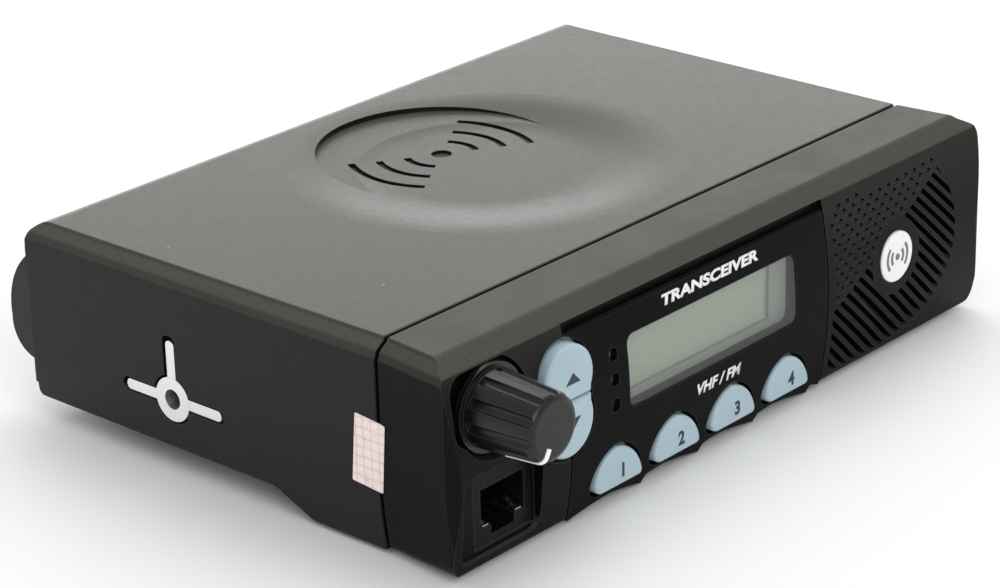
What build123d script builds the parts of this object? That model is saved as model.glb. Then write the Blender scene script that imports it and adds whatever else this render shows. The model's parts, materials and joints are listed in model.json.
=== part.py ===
from build123d import *
import os
from math import atan2, cos, degrees, radians, sin

os.makedirs("parts", exist_ok=True)

# Dash-mount two-way radio, in millimetres.
# x: 0 at the middle, + to the right seen from the front.
# y: 0 at the front plane of the head, + to the rear. z: 0 on the resting surface.

# ---- Driving dimensions -------------------------------------------------------
BODY_HALF = 82.7            # half width of the sleeve
HEAD_HALF = 85.0            # half width of the barrel-shaped head
TOP_Z = 43.6
HEAD_BOTTOM_Z = 1.1
REAR_BOTTOM_Z = 5.8
SEAM_Y = 17.5               # joint between head and sleeve
SEAM_GAP = 0.8
REAR_Y = 113.6
FIN_REAR_Y = 121.2
WALL = 2.0
SEAM_ROUND = 0.35

FACE_Y, FACE_Z, FACE_R = 89.31, 20.1, 91.72     # side-view circle of the convex face
PANEL_BACK_Y = 1.2

PANEL_LEFT, PANEL_RIGHT, PANEL_TOP = -51.4, 28.3, 39.2
PANEL_GAP = 0.55
OVERHANG_Z = 41.3
KEY_PITCH = 17.8
KEY_X = [-38.0 + KEY_PITCH * i for i in range(4)]
KEY_BASE_Z, KEY_APEX_Z = 3.8, 12.1
KEY_GAP = 0.8
ROCKER_X, ROCKER_SPLIT_Z = -52.8, 26.7
UP_Z, DOWN_Z, LOBE_R = 31.1, 22.3, 6.9

WINDOW = (-34.8, 18.0, 18.8, 33.5)               # x0, x1, z0, z1
LIGHT_X, LIGHT_Z = -38.9, (31.2, 26.2, 21.0)

KNOB_X, KNOB_Z = -72.3, 32.2
KNOB_FRONT_Y, KNOB_BASE_Y = -15.9, -0.8
KNOB_BASE_R, KNOB_FRONT_R = 7.7, 6.6
POCKET_R, POCKET_Y = 9.6, 2.0
SHAFT_R, SHAFT_BORE_R = 3.0, 3.05
FLUTES, POINTER_ANGLE = 10, 28.0

JACK_RECESS = (-81.8, -60.0, 3.4, 21.0)      # x0, x1, z0, z1
JACK_HOLE = (-74.5, -62.7, 6.2, 16.0)
JACK_FACE_Y = 0.1

SPEAKER_X, SPEAKER_Z = 52.4, 22.0
BADGE_R, BADGE_RING_R = 5.5, 8.3
SLOT_PITCH, SLOT_WIDTH, SLOT_ANGLE = 2.23, 1.2, -42.0
HOLE_WIDTH = 1.35

BOARD_Y, BOARD_THICK = 6.0, 1.6
MAIN_BOARD_Z = 12.0

BOSS_Y, BOSS_Z, BOSS_R, BOSS_BORE_R = 73.0, 16.3, 4.6, 2.1
BOSS_FACE_X = 82.5
CHASSIS_HALF = 79.0
DISC_Y = 76.7                  # middle of the emblem disc on the cover
ORIGIN_SHIFT_Y = -(KNOB_FRONT_Y + FIN_REAR_Y) / 2   # puts the origin under the middle


# ---- Helpers -------------------------------------------------------------------
def block(x0, x1, y0, y1, z0, z1):
    middle = Pos((x0 + x1) / 2, (y0 + y1) / 2, (z0 + z1) / 2)
    return middle * Box(x1 - x0, y1 - y0, z1 - z0)


def rod_x(y, z, radius, x0, x1):
    return Pos((x0 + x1) / 2, y, z) * Rot(0, 90, 0) * Cylinder(radius, x1 - x0)


def rod_y(x, z, radius, y0, y1):
    return Pos(x, (y0 + y1) / 2, z) * Rot(90, 0, 0) * Cylinder(radius, y1 - y0)


def rod_z(x, y, radius, z0, z1):
    return Pos(x, y, (z0 + z1) / 2) * Cylinder(radius, z1 - z0)


def cone_y(x, z, front_radius, rear_radius, y0, y1):
    return Pos(x, (y0 + y1) / 2, z) * Rot(90, 0, 0) * Cone(rear_radius, front_radius, y1 - y0)


def along_x(sketch, x0, x1):
    """Extrude a (y, z) sketch from x0 to x1."""
    return extrude(Plane.YZ.offset(x0) * sketch, amount=x1 - x0)


def along_y(sketch, y0, y1):
    """Extrude an (x, z) sketch from y0 to y1."""
    return extrude(Plane.XZ.offset(-y1) * sketch, amount=y1 - y0)


def along_z(sketch, z0, z1):
    """Extrude an (x, y) sketch from z0 to z1."""
    return extrude(Plane.XY.offset(z0) * sketch, amount=z1 - z0)


def rounded(points, radii):
    return make_face(FilletPolyline(*points, radius=radii, close=True).edges())


def mirrored(points, radii):
    """Close a right-hand outline, listed bottom to top, with its mirror image."""
    left = [(-x, z) for x, z in reversed(points)]
    return rounded(points + left, radii + radii[::-1])


def rectangle(x0, x1, z0, z1, radius=0.0):
    middle = Pos((x0 + x1) / 2, (z0 + z1) / 2)
    if radius:
        return middle * RectangleRounded(x1 - x0, z1 - z0, radius)
    return middle * Rectangle(x1 - x0, z1 - z0)


def face_cylinder(inset=0.0):
    return rod_x(FACE_Y, FACE_Z, FACE_R - inset, -HEAD_HALF - 5, HEAD_HALF + 5)


def face_depth(z):
    """Front surface y at height z."""
    return FACE_Y - (FACE_R ** 2 - (z - FACE_Z) ** 2) ** 0.5


def group(solids):
    return Compound([solid for part in solids for solid in part.solids()])


def save(name, shape):
    placed = [Pos(0, ORIGIN_SHIFT_Y, 0) * solid for solid in shape.solids()]
    whole = placed[0] if len(placed) == 1 else Compound(placed)
    export_step(whole, f"parts/{name}.step")


# ---- Head ----------------------------------------------------------------------
def shell_outline(half, low_half, low_z, belly_z=11.5, low_round=0.0, belly_round=60.0):
    """Cross-section shared by head and sleeve: a shoulder runs along each top edge."""
    points = [(low_half, low_z), (half, belly_z), (half, 40.0), (half - 0.7, 41.7),
              (half - 2.6, 42.95), (half - 3.0, TOP_Z)]
    return mirrored(points, [low_round, belly_round, 1.2, 1.4, 0.45, 0.35])


def inner_outline(half, low_z):
    points = [(half - 1.4, low_z), (half, 11.5), (half, 39.0), (half - 2.6, TOP_Z - WALL)]
    return mirrored(points, [0.0, 60.0, 1.0, 1.0])


def head_side_profile():
    nose_top = (0.1, 41.3)
    nose_bottom = (face_depth(2.4), 2.4)
    bevel_start = (4.3, TOP_Z)
    profile = make_face([
        Line((SEAM_Y, HEAD_BOTTOM_Z), (SEAM_Y, TOP_Z)),
        Line((SEAM_Y, TOP_Z), bevel_start),
        Line(bevel_start, nose_top),
        ThreePointArc(nose_top, (face_depth(FACE_Z), FACE_Z), nose_bottom),
        ThreePointArc(nose_bottom, (-0.3, 1.5), (0.8, HEAD_BOTTOM_Z)),
        Line((0.8, HEAD_BOTTOM_Z), (SEAM_Y, HEAD_BOTTOM_Z))])
    for corner, radius in ((bevel_start, 2.4), (nose_top, 0.6)):
        profile = fillet(profile.vertices().sort_by_distance(Vector(*corner, 0))[0], radius)
    return profile


def head_form():
    """Outer form: flares from the sleeve's section to a barrel-shaped front."""
    rear_y, flare_y = SEAM_Y - SEAM_GAP / 2, -0.6
    rear = shell_outline(BODY_HALF, 81.3, HEAD_BOTTOM_Z, 11.5, 2.0)
    front = shell_outline(HEAD_HALF - 0.3, 83.3, HEAD_BOTTOM_Z, 14.0, 3.6, 90.0)
    flare = loft([Plane.XZ.offset(-rear_y) * rear, Plane.XZ.offset(-flare_y) * front])
    seam_edges = flare.faces().sort_by(Axis.Y)[-1].edges()
    flare = fillet(seam_edges, SEAM_ROUND)
    form = flare + along_y(front, -5, flare_y)
    plan = mirrored([(HEAD_HALF, -2.45), (HEAD_HALF, SEAM_Y)], [3.4, 0.0])
    form &= along_z(plan, -2, TOP_Z + 2)
    return form & along_x(head_side_profile(), -HEAD_HALF - 2, HEAD_HALF + 2)


def head_cavity():
    side = offset(head_side_profile(), amount=-2.2)
    cavity = along_y(inner_outline(BODY_HALF - 2.4, 3.3), -5, SEAM_Y + 1)
    rear_opening = along_y(inner_outline(BODY_HALF - 2.4, 3.3), 10, SEAM_Y + 1)
    front_edge = face_depth(FACE_Z) + 2.2
    limits = along_x(side, -90, 90) & block(-90, 90, front_edge - 1, 20, 3.3, TOP_Z - WALL)
    return (cavity & limits) + rear_opening


def lattice_frame():
    along = (cos(radians(SLOT_ANGLE)), sin(radians(SLOT_ANGLE)))
    across = (-along[1], along[0])
    return along, across


def grille_openings():
    """Diagonal slots that break up into a lattice of square holes towards the upper left."""
    left, top, bottom = 30.4, 38.9, 2.4
    outline = make_face([
        Line((left, bottom), (left, top)),
        Line((left, top), (66.6, top)),
        ThreePointArc((66.6, top), (74.3, 23.0), (67.0, 7.0)),
        ThreePointArc((67.0, 7.0), (58.6, 4.0), (49.8, bottom)),
        Line((49.8, bottom), (left, bottom))])
    field = outline - Pos(SPEAKER_X, SPEAKER_Z) * Circle(BADGE_RING_R)
    holes_edge_left, holes_edge_right = 15.5, 40.5      # heights where holes turn to slots
    holes_zone = make_face(Polyline(
        (left - 2, holes_edge_left), (left - 2, top + 2), (76.0, top + 2),
        (76.0, holes_edge_right), close=True).edges())
    along, across = lattice_frame()
    first_across, first_along = 48.9, -2.46
    slots, holes = [], []
    for row in range(-20, 18):
        a = first_across + SLOT_PITCH * row
        middle = (across[0] * a + along[0] * 26, across[1] * a + along[1] * 26)
        slots.append(Pos(*middle) * Rot(0, 0, SLOT_ANGLE) * Rectangle(110, SLOT_WIDTH))
        for step in range(-12, 30):
            s = first_along + SLOT_PITCH * step
            x = across[0] * a + along[0] * s
            z = across[1] * a + along[1] * s
            in_badge = (x - SPEAKER_X) ** 2 + (z - SPEAKER_Z) ** 2 < (BADGE_RING_R + 0.5) ** 2
            in_field = left + 0.5 < x < 68.5 and z < top - 0.4
            boundary = holes_edge_left + (x - left + 2) * (holes_edge_right - holes_edge_left) / 47.6
            if in_field and z > boundary + 0.9 and not in_badge:
                holes.append(Pos(x, z) * Rot(0, 0, SLOT_ANGLE) * RectangleRounded(HOLE_WIDTH, HOLE_WIDTH, 0.4))
    slot_field = field - holes_zone
    return slot_field & Sketch() + slots, Sketch() + holes


def rocker_outline(grow):
    radius = LOBE_R + grow
    lobes = Pos(ROCKER_X, UP_Z) * Circle(radius) + Pos(ROCKER_X, DOWN_Z) * Circle(radius)
    return lobes + rectangle(ROCKER_X - 6.3 - grow, ROCKER_X + 6.3 + grow, DOWN_Z + 1, UP_Z - 1)


def key_outline(x, grow):
    """Half-dome key: flat base, round top."""
    g = grow
    left, right = (x - 7.0 - g, 5.9), (x + 7.0 + g, 5.2)
    top = (x - 0.4, KEY_APEX_Z + g)
    base_left, base_right = (x - 5.0 - g / 2, KEY_BASE_Z - g), (x + 5.8 + g / 2, KEY_BASE_Z - g)
    outline = make_face([
        ThreePointArc(left, (x - 4.9 - 0.7 * g, 9.9 + 0.7 * g), top),
        ThreePointArc(top, (x + 4.8 + 0.7 * g, 9.4 + 0.7 * g), right),
        ThreePointArc(right, (x + 6.8 + g, 4.2 - 0.6 * g), base_right),
        Line(base_right, base_left),
        ThreePointArc(base_left, (x - 6.4 - g, 4.5 - 0.5 * g), left)])
    return fillet(outline.vertices(), 0.9)


def knob_pocket():
    """Round well behind the knob that runs out to the left-hand corner."""
    well = Pos(KNOB_X, KNOB_Z) * Circle(POCKET_R) + rectangle(-83.0, KNOB_X + 2, 26.8, 40.9, 4.0)
    return along_y(well & rectangle(-83.0, -55, 0, 40.9), -6, POCKET_Y)


def control_head_housing():
    form = head_form()
    housing = form - head_cavity()
    pocket_wall = block(-90, -60.6, 0.0, POCKET_Y + WALL, 21.6, 43)
    jack_wall = block(-90, -58.4, -2.0, JACK_FACE_Y + WALL, 1.5, 22.4)
    housing += (pocket_wall + jack_wall) & form
    ledge = block(PANEL_LEFT - 2.4, PANEL_RIGHT + 2.4, PANEL_BACK_Y + 0.1, 3.4, 2, OVERHANG_Z + 0.8)
    housing += ledge & form
    housing -= knob_pocket()
    housing -= rod_y(KNOB_X, KNOB_Z, 3.7, 0, 10)
    housing -= along_y(rectangle(*JACK_RECESS, 2.6), -6, JACK_FACE_Y)
    jack_x0, jack_x1, jack_z0, jack_z1 = JACK_HOLE
    housing -= block(jack_x0 - 2.3, jack_x1 + 2.3, -3, 8, jack_z0 - 1.7, jack_z1 + 3.6)
    housing -= block(PANEL_LEFT - PANEL_GAP, PANEL_RIGHT + PANEL_GAP, -6, PANEL_BACK_Y + 0.1, -2, OVERHANG_Z)
    housing -= block(PANEL_LEFT + 2, PANEL_RIGHT - 2, 0, 8, HEAD_BOTTOM_Z + 2.0, PANEL_TOP - 0.8)
    housing -= along_y(rocker_outline(KEY_GAP), -6, 3)
    housing -= along_y(rocker_outline(1.2) & rectangle(-60.4, -40, 0, 45), PANEL_BACK_Y, 8)
    slots, holes = grille_openings()
    housing -= along_y(slots, -5, 6)
    housing -= along_y(holes, -5, 6)
    housing -= rod_y(SPEAKER_X, SPEAKER_Z, BADGE_R + 0.15, -5, face_depth(SPEAKER_Z) + 1.1)
    return housing


def fascia_bottom():
    """Lower edge: a lip hangs between the keys, scooped up under each key."""
    high, low = 2.2, 0.5
    edges, x, z = [], PANEL_LEFT, 0.9
    for key_x in KEY_X:
        scoop = (key_x - 1.0, high)
        lip = (key_x + 8.6, low)
        step = (key_x + 9.8, high - 0.3)
        edges.append(ThreePointArc((x, z), ((x + scoop[0]) / 2, (z + high) / 2 + 0.25), scoop))
        edges.append(ThreePointArc(scoop, (key_x + 5.4, 1.2), lip))
        edges.append(Line(lip, step))
        x, z = step
    edges.append(Line((x, z), (PANEL_RIGHT, 0.9)))
    edges.append(Line((PANEL_RIGHT, 0.9), (PANEL_RIGHT, PANEL_TOP)))
    edges.append(Line((PANEL_RIGHT, PANEL_TOP), (PANEL_LEFT, PANEL_TOP)))
    edges.append(Line((PANEL_LEFT, PANEL_TOP), (PANEL_LEFT, 0.9)))
    return make_face(edges)


def fascia_panel():
    panel = along_y(fascia_bottom(), -5, PANEL_BACK_Y) & face_cylinder()
    top_edge = panel.edges().filter_by(Axis.X).group_by(Axis.Z)[-1].sort_by(Axis.Y)[0]
    panel = chamfer(top_edge, 0.45)
    panel -= along_y(rectangle(*WINDOW, 2.0), -5, 3)
    x0, x1, z0, z1 = WINDOW
    panel -= block(x0 - 1.9, x1 + 2.0, 0.6, 3, z0 - 2.0, z1 + 2.2)
    for z in LIGHT_Z:
        panel -= along_y(Pos(LIGHT_X, z) * RectangleRounded(2.3, 2.6, 0.9), -5, 3)
    panel -= along_y(rocker_outline(KEY_GAP), -5, 3)
    for x in KEY_X:
        panel -= along_y(key_outline(x, KEY_GAP), -5, 3)
    return panel


def display_window():
    lens = along_y(rectangle(*[v + d for v, d in zip(WINDOW, (0.1, -0.1, 0.1, -0.1))], 1.9), -5, 3)
    return lens & (face_cylinder(0.3) - face_cylinder(1.4))


def status_lights():
    lens = [along_y(Pos(LIGHT_X, z) * RectangleRounded(2.0, 2.3, 0.8), -5, BOARD_Y - 0.8)
            & face_cylinder(0.9) for z in LIGHT_Z]
    return group(lens)


def lcd_holder():
    x0, x1, z0, z1 = WINDOW
    frame = block(x0 - 1.7, x1 + 1.8, 0.6, BOARD_Y, z0 - 1.8, z1 + 2.0)
    frame -= block(x0 + 1.0, 12.4, 0.0, 2.0, 20.6, z1 - 0.4)
    return frame - block(x0 + 0.2, x1 - 0.2, 1.3, 7.0, z0 + 0.3, z1 + 0.5)


def lcd_panel():
    x0, x1, z0, z1 = WINDOW
    return block(x0 + 0.4, x1 - 0.4, 1.3, 3.0, z0 + 0.5, z1 + 0.3)


def backlight_guide():
    x0, x1, z0, z1 = WINDOW
    return block(x0 + 0.4, x1 - 0.4, 3.0, BOARD_Y, z0 + 0.5, z1 + 0.3)


def crowned(shape, radius):
    """Soften the front rim of a key."""
    rim = shape.faces().sort_by(Axis.Y)[0].edges()
    return fillet(rim, radius)


def function_key(x):
    front_y = face_depth(8.0) - 0.65
    cap = crowned(along_y(key_outline(x, 0.0), front_y, 1.5), 0.7)
    flange = along_y(key_outline(x, 1.3), PANEL_BACK_Y + 0.3, 2.5) & block(-60, 40, 0, 5, KEY_BASE_Z, 20)
    plunger = rod_y(x, 8.0, 1.5, 2.5, BOARD_Y - 2.15)
    return cap + flange + plunger


def rocker_key(up):
    centre_z = UP_Z if up else DOWN_Z
    half = block(-70, -40, -6, 8, ROCKER_SPLIT_Z + 0.15, 45)
    if not up:
        half = block(-70, -40, -6, 8, 5, ROCKER_SPLIT_Z - 0.15)
    front_y = face_depth(ROCKER_SPLIT_Z) - 0.8
    cap = crowned(along_y(rocker_outline(0.0), front_y, 1.5) & half, 0.8)
    flange = along_y(rocker_outline(0.8), PANEL_BACK_Y + 0.3, 2.5) & half
    flange -= block(-70, -59.9, -6, 8, 5, 45)
    plunger = rod_y(ROCKER_X, centre_z, 1.5, 2.5, BOARD_Y - 2.15)
    return cap + flange + plunger


def switch_sites():
    return [(x, 8.0) for x in KEY_X] + [(ROCKER_X, UP_Z), (ROCKER_X, DOWN_Z)]


def switch_domes():
    return group([cone_y(x, z, 1.6, 2.6, BOARD_Y - 0.8, BOARD_Y) for x, z in switch_sites()])


def keypad_membrane():
    sheet = block(-45.9 - 1.5, 26.2, BOARD_Y - 0.7, BOARD_Y, 3.6, 14.2)
    sheet += block(-60.0, -41.0, BOARD_Y - 0.7, BOARD_Y, 3.6, 38.6)
    for x, z in switch_sites():
        sheet -= rod_y(x, z, 3.0, 0, 10)
    for z in LIGHT_Z:
        sheet -= rod_y(LIGHT_X, z, 2.0, 0, 10)
    return sheet


def control_board():
    board = block(-60.2, 29.0, BOARD_Y, BOARD_Y + BOARD_THICK, 3.6, 39.6)
    for x in (-57.5, 26.5):
        board -= rod_y(x, 36.6, 1.2, 0, 10)
    return board


def volume_pot():
    body = block(KNOB_X - 6.2, KNOB_X + 6.2, POCKET_Y + WALL + 0.1, 12.0, KNOB_Z - 6.2, KNOB_Z + 6.2)
    bushing = rod_y(KNOB_X, KNOB_Z, 3.6, -2.4, 6)
    tabs = [block(KNOB_X + dx - 0.5, KNOB_X + dx + 0.5, 8, 9, KNOB_Z - 9.0, KNOB_Z - 6.0) for dx in (-4, 0, 4)]
    return (body + bushing + tabs[0] + tabs[1] + tabs[2]) - rod_y(KNOB_X, KNOB_Z, SHAFT_BORE_R, -4, 9)


def knob_nut():
    blank = along_y(Pos(KNOB_X, KNOB_Z) * RegularPolygon(4.9, 6), POCKET_Y - 1.9, POCKET_Y)
    return blank - rod_y(KNOB_X, KNOB_Z, 3.6, -4, 9)


def knob_shaft():
    return rod_y(KNOB_X, KNOB_Z, SHAFT_R, KNOB_FRONT_Y + 2.6, 8.2)


def about_knob(shape, degrees):
    """Turn a shape modelled at the knob's own axis and put it in place."""
    return Pos(KNOB_X, 0, KNOB_Z) * Rot(0, degrees, 0) * shape


def pointer_slot():
    """White marker: runs along one rib and hooks over the front edge."""
    rib = block(-0.55, 0.55, KNOB_FRONT_Y - 1, KNOB_FRONT_Y + 8.4, -9, -3.6)
    return about_knob(rib, POINTER_ANGLE)


def knob_shell(shrink):
    body = cone_y(KNOB_X, KNOB_Z, KNOB_FRONT_R - shrink, KNOB_BASE_R - shrink, KNOB_FRONT_Y + shrink,
                  KNOB_BASE_Y)
    return fillet(body.faces().sort_by(Axis.Y)[0].edges(), 1.7 - shrink)


def knob_flute():
    """Round-bottomed groove along the side that runs out under the front edge."""
    radius, front_y, rear_y = 1.15, KNOB_FRONT_Y + 1.0, KNOB_BASE_Y - 0.9
    length = rear_y - front_y
    tilt = degrees(atan2(KNOB_BASE_R - KNOB_FRONT_R, KNOB_BASE_Y - KNOB_FRONT_Y))
    middle_r = (KNOB_BASE_R + KNOB_FRONT_R) / 2 + 0.35
    middle = Pos(0, (front_y + rear_y) / 2, middle_r) * Rot(tilt, 0, 0)
    groove = middle * Rot(90, 0, 0) * Cylinder(radius, length)
    groove += middle * Pos(0, -length / 2, 0) * Sphere(radius)
    return groove + middle * Pos(0, 0, radius) * Box(2 * radius, length, 2 * radius)


def volume_knob():
    body = knob_shell(0.0)
    flute = knob_flute()
    for i in range(FLUTES):
        body -= about_knob(flute, POINTER_ANGLE + 180 + (i + 0.5) * 360 / FLUTES)
    body += rod_y(KNOB_X, KNOB_Z, 8.6, KNOB_BASE_Y - 0.2, KNOB_BASE_Y + 0.9)
    body -= rod_y(KNOB_X, KNOB_Z, 5.5, KNOB_BASE_Y - 2.4, KNOB_BASE_Y + 2)
    body -= pointer_slot() & (knob_shell(-0.5) - knob_shell(0.8))
    return body - rod_y(KNOB_X, KNOB_Z, SHAFT_R, KNOB_FRONT_Y + 2.6, 3)


def knob_pointer():
    return pointer_slot() & (knob_shell(-0.2) - knob_shell(0.8))


def mic_jack_body():
    x0, x1, z0, z1 = JACK_HOLE
    body = block(x0 - 2.0, x1 + 2.0, JACK_FACE_Y + 0.3, 15.0, z0 - 1.4, z1 + 3.3)
    cavity = block(x0, x1, -6, 12.5, z0 + 2.0, z1)
    latch = block((x0 + x1) / 2 - 3.2, (x0 + x1) / 2 + 3.2, -6, 12.5, z0, z1)
    return body - cavity - latch


def mic_jack_contacts():
    x0, x1, z0, z1 = JACK_HOLE
    wires = []
    for i in range(8):
        x = (x0 + x1) / 2 + (i - 3.5) * 1.02
        wires.append(Pos(x, 6.6, z1 - 2.6) * Rot(-25, 0, 0) * Box(0.45, 9.5, 0.45))
    return group(wires)


def mic_jack_clips():
    """Two bent earthing clips on the shoulders beside the latch slot."""
    x0, x1, z0, z1 = JACK_HOLE
    shoulder = z0 + 2.0
    clips = []
    for x in (x0 + 1.4, x1 - 1.4):
        strip = block(x - 0.8, x + 0.8, JACK_FACE_Y + 0.5, 7.0, shoulder, shoulder + 0.3)
        tongue = Pos(x, JACK_FACE_Y + 2.6, shoulder + 0.9) * Rot(28, 0, 0) * Box(1.1, 3.4, 0.3)
        clips.append(strip + tongue)
    return group(clips)


def speaker_frame():
    ring = rod_y(SPEAKER_X, SPEAKER_Z, 17.6, 3.2, 5.0) - rod_y(SPEAKER_X, SPEAKER_Z, 15.4, 0, 8)
    basket = cone_y(SPEAKER_X, SPEAKER_Z, 17.4, 11.0, 5.0, 10.5)
    basket -= cone_y(SPEAKER_X, SPEAKER_Z, 16.4, 10.0, 4.9, 10.5)
    plate = rod_y(SPEAKER_X, SPEAKER_Z, 11.0, 10.5, 11.3) - rod_y(SPEAKER_X, SPEAKER_Z, 6.2, 9, 13)
    return ring + basket + plate


def speaker_cone():
    outer = cone_y(SPEAKER_X, SPEAKER_Z, 14.6, 5.0, 4.0, 9.0)
    inner = cone_y(SPEAKER_X, SPEAKER_Z, 14.2, 4.6, 3.4, 8.4)
    coil = rod_y(SPEAKER_X, SPEAKER_Z, 5.4, 8.4, 12.0) - rod_y(SPEAKER_X, SPEAKER_Z, 4.9, 8.8, 13.0)
    return outer - inner + coil


def speaker_magnet():
    ring = rod_y(SPEAKER_X, SPEAKER_Z, 11.0, 11.3, 15.0) - rod_y(SPEAKER_X, SPEAKER_Z, 6.2, 10, 13.6)
    return ring + rod_y(SPEAKER_X, SPEAKER_Z, 4.2, 11.0, 13.8)


def grille_cloth():
    strip = along_y(rectangle(31.0, 76.0, 3.6, 39.0), -5, 6)
    return strip & (face_cylinder(2.35) - face_cylinder(2.85))


def grille_badge():
    front_y = face_depth(SPEAKER_Z)
    disc = rod_y(SPEAKER_X, SPEAKER_Z, BADGE_R, front_y - 0.35, front_y + 1.1)
    return fillet(disc.faces().sort_by(Axis.Y)[0].edges(), 0.35)


def head_gasket():
    outer = rectangle(-80.4, 80.4, 3.2, 41.8, 2.0) - rectangle(-78.8, 78.8, 5.0, TOP_Z - 3.4, 1.0)
    return along_y(outer, SEAM_Y - SEAM_GAP / 2, SEAM_Y + SEAM_GAP / 2)


# ---- Sleeve and chassis ----------------------------------------------------------
def boss_cutout(side):
    """Three-armed cut-out in the sleeve round the side boss."""
    shape = Pos(BOSS_Y, BOSS_Z) * Circle(BOSS_R + 0.55)
    shape += rectangle(BOSS_Y - 1.75, BOSS_Y + 1.75, BOSS_Z, 29.8, 1.4)
    shape += rectangle(58.7, 86.8, BOSS_Z - 1.6, BOSS_Z + 1.6, 1.4)
    x0, x1 = (76, 88) if side > 0 else (-88, -76)
    return along_x(shape, x0, x1)


def emblem_grooves():
    """Round-wave symbol: a dot between three pairs of arcs, sunk in the disc."""
    depth_z, half_width = 41.4, 0.8
    grooves = [rod_z(0, DISC_Y, 2.2, depth_z, 46)]
    for radius in (7.5, 13.5, 19.5):
        ring = Circle(radius + half_width) - Circle(radius - half_width)
        wedge = make_face(Polyline((0, 0), (30, 19), (30, -19), close=True).edges())
        wedge += make_face(Polyline((0, 0), (-30, 19), (-30, -19), close=True).edges())
        grooves.append(along_z(Pos(0, DISC_Y) * (ring & wedge), depth_z, 46))
    return grooves


def top_dish():
    """Shallow round hollow whose wall is a soft S-curve."""
    floor_r, rim_r, deep = 21.0, 41.5, 1.5
    middle_r = (floor_r + rim_r) / 2
    wall = Spline((floor_r, -deep), (middle_r, -deep / 2), (rim_r, 0), tangents=((1, 0), (1, 0)))
    profile = make_face([
        Line((0, -deep), (floor_r, -deep)), wall, Line((rim_r, 0), (rim_r, 2)),
        Line((rim_r, 2), (0, 2)), Line((0, 2), (0, -deep))])
    return Pos(0, 65.0, TOP_Z) * revolve(Plane.XZ * profile, Axis.Z)


def top_cover():
    start = SEAM_Y + SEAM_GAP / 2
    side = rounded(
        [(start, HEAD_BOTTOM_Z), (36.9, HEAD_BOTTOM_Z), (46.3, REAR_BOTTOM_Z), (REAR_Y, REAR_BOTTOM_Z),
         (REAR_Y, TOP_Z), (start, TOP_Z)],
        [0.0, 4.0, 4.0, 1.2, 4.6, 0.0])
    outer = along_y(shell_outline(BODY_HALF, 81.3, HEAD_BOTTOM_Z), start, REAR_Y)
    outer = fillet(outer.faces().sort_by(Axis.Y)[0].edges().filter_by(lambda e: e.center().Z > 3), SEAM_ROUND)
    shell = outer & along_x(side, -90, 90)
    shell -= along_y(inner_outline(BODY_HALF - WALL, HEAD_BOTTOM_Z - 3), start - 1, REAR_Y - 2.2)
    pad = rod_z(0, 67.0, 43.0, 39.4, TOP_Z - WALL + 0.1)
    shell += pad
    shell -= block(-79.6, 79.6, 105, 120, -2, 38.6)
    for side_sign in (-1, 1):
        shell -= boss_cutout(side_sign)
    shell -= top_dish()
    shell -= rod_z(0, DISC_Y, 26.45, TOP_Z - 1.25, 50)
    for groove in emblem_grooves():
        shell -= groove
    return shell


def fin_profile():
    return make_face([
        Line((114.0, 12.7), (114.0, 36.2)),
        Line((114.0, 36.2), (115.0, 35.7)),
        ThreePointArc((115.0, 35.7), (119.9, 29.4), (FIN_REAR_Y, 21.0)),
        ThreePointArc((FIN_REAR_Y, 21.0), (119.6, 15.6), (115.0, 13.0)),
        Line((115.0, 13.0), (114.0, 12.7))])


def boss_solid(side):
    """Mounting boss with three location arms, standing out through the sleeve."""
    inner, outer = 70.0, BOSS_FACE_X
    arms = rectangle(BOSS_Y - 1.15, BOSS_Y + 1.15, BOSS_Z, 28.6, 1.0)
    arms += rectangle(59.5, 86.0, BOSS_Z - 1.1, BOSS_Z + 1.1, 1.0)
    x0, x1 = (CHASSIS_HALF - 1, outer - 0.1) if side > 0 else (-outer + 0.1, -CHASSIS_HALF + 1)
    solid = along_x(arms, x0, x1)
    if side > 0:
        solid += rod_x(BOSS_Y, BOSS_Z, BOSS_R, inner, outer)
        return solid, rod_x(BOSS_Y, BOSS_Z, BOSS_BORE_R, outer - 9.5, outer + 2)
    solid += rod_x(BOSS_Y, BOSS_Z, BOSS_R, -outer, -inner)
    return solid, rod_x(BOSS_Y, BOSS_Z, BOSS_BORE_R, -outer - 2, -outer + 9.5)


STANDOFFS = [(x, y) for x in (-70.0, 0.0, 70.0) for y in (27.0, 102.0)]
ANTENNA_X, ANTENNA_Z = 30.0, 24.0
POWER_X, ACCESSORY_X = -27.0, 2.0
POWER_PIN_OFFSETS = (-4.2, 4.2)


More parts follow.
